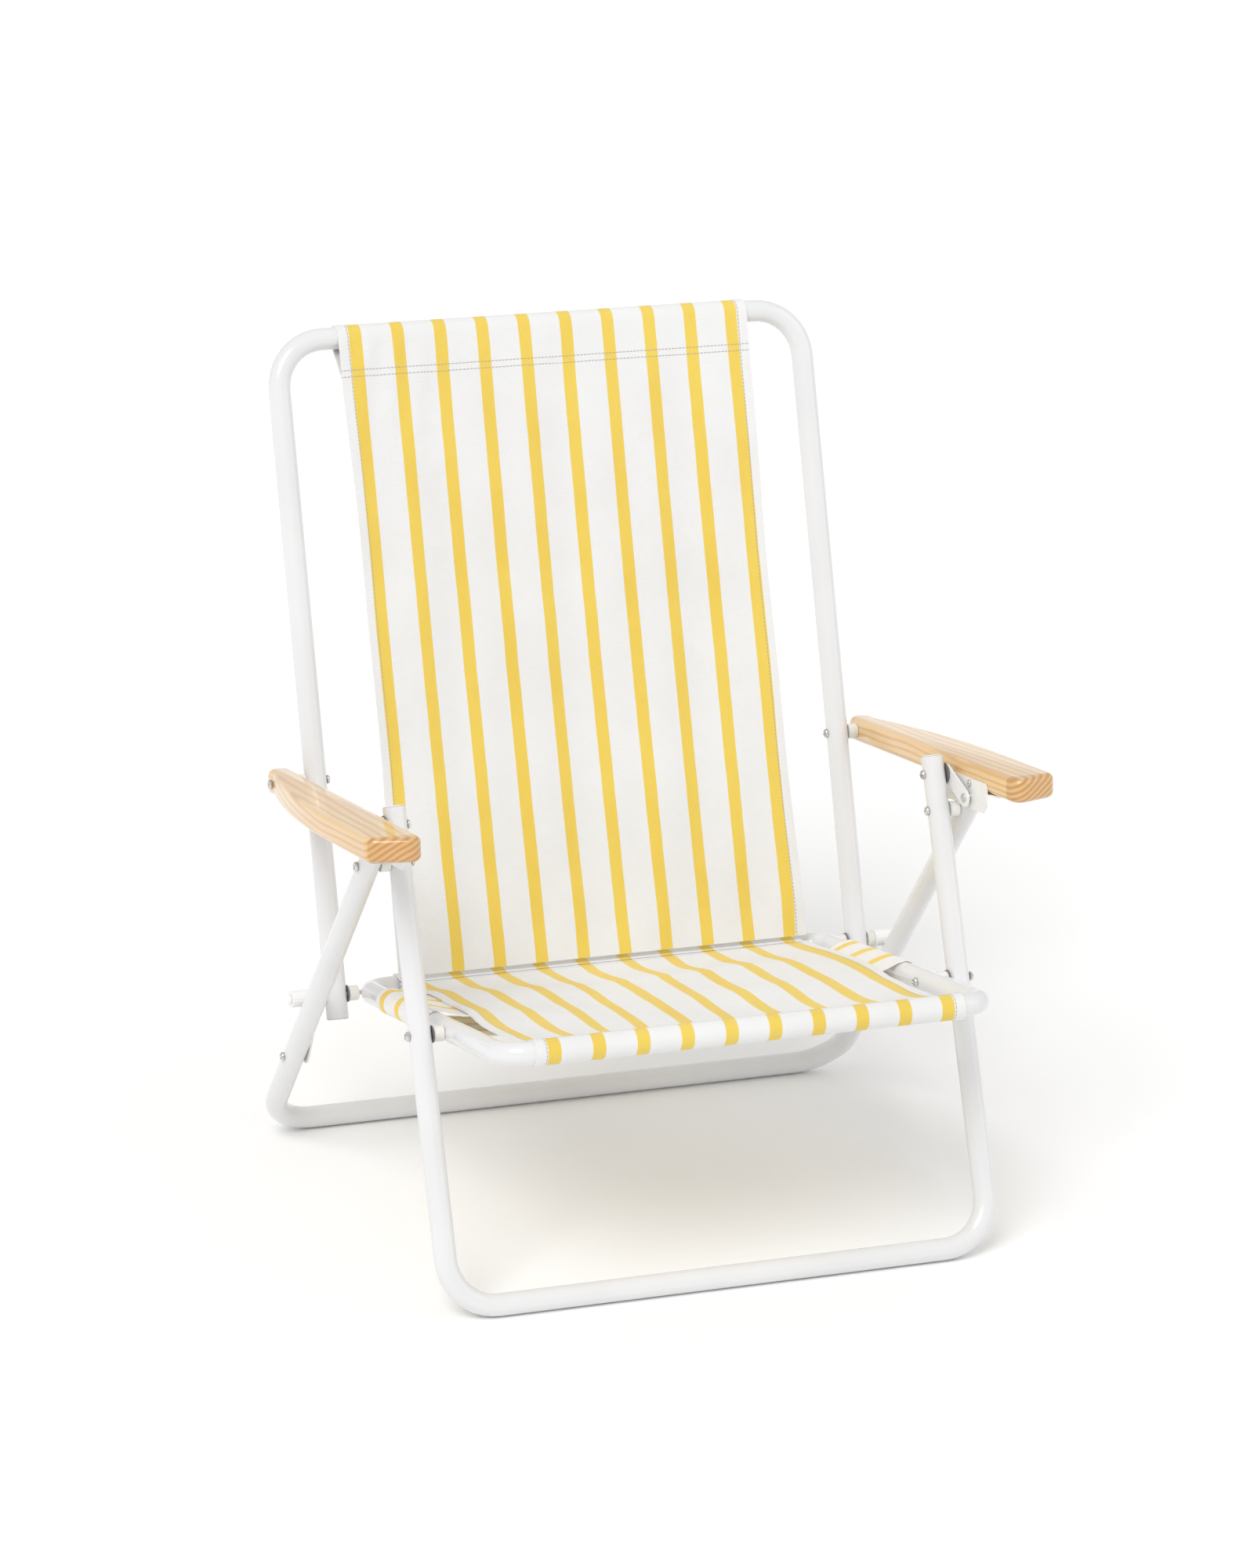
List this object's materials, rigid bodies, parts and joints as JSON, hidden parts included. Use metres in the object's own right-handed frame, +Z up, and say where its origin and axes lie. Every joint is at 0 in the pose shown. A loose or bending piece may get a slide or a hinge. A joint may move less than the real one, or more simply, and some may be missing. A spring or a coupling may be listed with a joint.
{
  "type": "folding beach chair",
  "caption": "Low folding beach chair: white bent-tube frames, striped canvas sling seat and back, wooden armrests, and a linked fold.",
  "frame": {"origin": "on the ground, in the middle of the chair from side to side and from front to back", "axes": "+Z up; the sitter faces -Y; +X is to the right when looking at the chair along +Y"},
  "size_m": [0.7038, 0.6542, 0.8029],
  "materials": {
    "white_tube": "gloss white powder coat",
    "white_plate": "gloss white powder coat on sheet steel",
    "striped_canvas": "off-white woven canvas with yellow stripes",
    "varnished_wood": "light wood with clear satin varnish",
    "white_nylon": "moulded white nylon",
    "dark_washer": "black washer",
    "tube_plug": "moulded white cap",
    "bright_fastener": "bright zinc-plated steel"
  },
  "bodies": {
    "seat": {"seat_frame": "white_tube", "seat_sling": "striped_canvas", "support_band": "striped_canvas", "leg_spacer_left": "white_nylon", "leg_washer_left": "dark_washer", "leg_bolt_left": "bright_fastener", "leg_nut_left": "bright_fastener", "hinge_spacer_left": "white_nylon", "hinge_washer_left": "dark_washer", "hinge_collar_left": "white_nylon", "hinge_stub_left": "white_plate", "hinge_bolt_left": "bright_fastener", "leg_spacer_right": "white_nylon", "leg_washer_right": "dark_washer", "leg_bolt_right": "bright_fastener", "leg_nut_right": "bright_fastener", "hinge_spacer_right": "white_nylon", "hinge_washer_right": "dark_washer", "hinge_collar_right": "white_nylon", "hinge_stub_right": "white_plate", "hinge_bolt_right": "bright_fastener"},
    "front_legs": {"front_leg_frame": "white_tube", "front_leg_plug_left": "tube_plug", "strap_washer_left": "dark_washer", "strap_bolt_left": "bright_fastener", "stop_spacer_left": "white_nylon", "stop_bolt_left": "bright_fastener", "front_leg_plug_right": "tube_plug", "strap_washer_right": "dark_washer", "strap_bolt_right": "bright_fastener", "stop_spacer_right": "white_nylon", "stop_bolt_right": "bright_fastener"},
    "rear_legs": {"rear_leg_frame": "white_tube", "rear_leg_plug_left": "tube_plug", "link_bolt_left": "bright_fastener", "rear_leg_plug_right": "tube_plug", "link_bolt_right": "bright_fastener"},
    "back": {"back_frame": "white_tube", "back_sling": "striped_canvas", "back_sling_lower": "striped_canvas", "back_plug_left": "tube_plug", "arm_spacer_left": "white_nylon", "arm_bolt_left": "bright_fastener", "back_plug_right": "tube_plug", "arm_spacer_right": "white_nylon", "arm_bolt_right": "bright_fastener"},
    "leg_link_left": {"leg_link_left": "white_plate", "link_stud_left": "bright_fastener"},
    "armrest_left": {"armrest_left": "varnished_wood", "armrest_bracket_left": "white_plate", "bracket_screw_left": "bright_fastener", "strap_rivet_left": "bright_fastener"},
    "strap_left": {"arm_strap_left": "white_plate"},
    "leg_link_right": {"leg_link_right": "white_plate", "link_stud_right": "bright_fastener"},
    "armrest_right": {"armrest_right": "varnished_wood", "armrest_bracket_right": "white_plate", "bracket_screw_right": "bright_fastener", "strap_rivet_right": "bright_fastener"},
    "strap_right": {"arm_strap_right": "white_plate"}
  },
  "joints": [
    {"name": "fold", "type": "hinge", "parent": "seat", "child": "front_legs", "pos_m": [0, -0.174, 0.2475], "axis": [1, 0, 0], "range_deg": [0, 80]},
    {"name": "rear_legs_fold", "type": "hinge", "parent": "front_legs", "child": "rear_legs", "pos_m": [0, -0.10262, 0.39682], "axis": [1, 0, 0], "range_deg": [-54.92, 0]},
    {"name": "back_fold", "type": "hinge", "parent": "seat", "child": "back", "pos_m": [0, 0.07504, 0.18909], "axis": [1, 0, 0], "range_deg": [0, 77.85], "deforming": ["back_sling_lower"]},
    {"name": "leg_link_left_fold", "type": "hinge", "parent": "seat", "child": "leg_link_left", "pos_m": [0, 0.07504, 0.18909], "axis": [1, 0, 0], "range_deg": [-102.31, 0]},
    {"name": "armrest_left_fold", "type": "hinge", "parent": "back", "child": "armrest_left", "pos_m": [0, 0.15365, 0.38662], "axis": [1, 0, 0], "range_deg": [-87.45, 0]},
    {"name": "strap_left_fold", "type": "hinge", "parent": "armrest_left", "child": "strap_left", "pos_m": [0, -0.13198, 0.41908], "axis": [1, 0, 0], "range_deg": [-32.63, 0]},
    {"name": "leg_link_right_fold", "type": "hinge", "parent": "seat", "child": "leg_link_right", "pos_m": [0, 0.07504, 0.18909], "axis": [1, 0, 0], "range_deg": [-102.31, 0]},
    {"name": "armrest_right_fold", "type": "hinge", "parent": "back", "child": "armrest_right", "pos_m": [0, 0.15365, 0.38662], "axis": [1, 0, 0], "range_deg": [-87.45, 0]},
    {"name": "strap_right_fold", "type": "hinge", "parent": "armrest_right", "child": "strap_right", "pos_m": [0, -0.13198, 0.41908], "axis": [1, 0, 0], "range_deg": [-32.63, 0]}
  ],
  "couplings": [
    {"joint": "rear_legs_fold", "follows": "fold", "ratio": -0.6863},
    {"joint": "back_fold", "follows": "fold", "ratio": 0.9729},
    {"joint": "leg_link_left_fold", "follows": "fold", "ratio": -1.2786},
    {"joint": "armrest_left_fold", "follows": "fold", "ratio": -1.0929},
    {"joint": "strap_left_fold", "follows": "fold", "ratio": -0.40763},
    {"joint": "leg_link_right_fold", "follows": "fold", "ratio": -1.2786},
    {"joint": "armrest_right_fold", "follows": "fold", "ratio": -1.0929},
    {"joint": "strap_right_fold", "follows": "fold", "ratio": -0.40763}
  ]
}
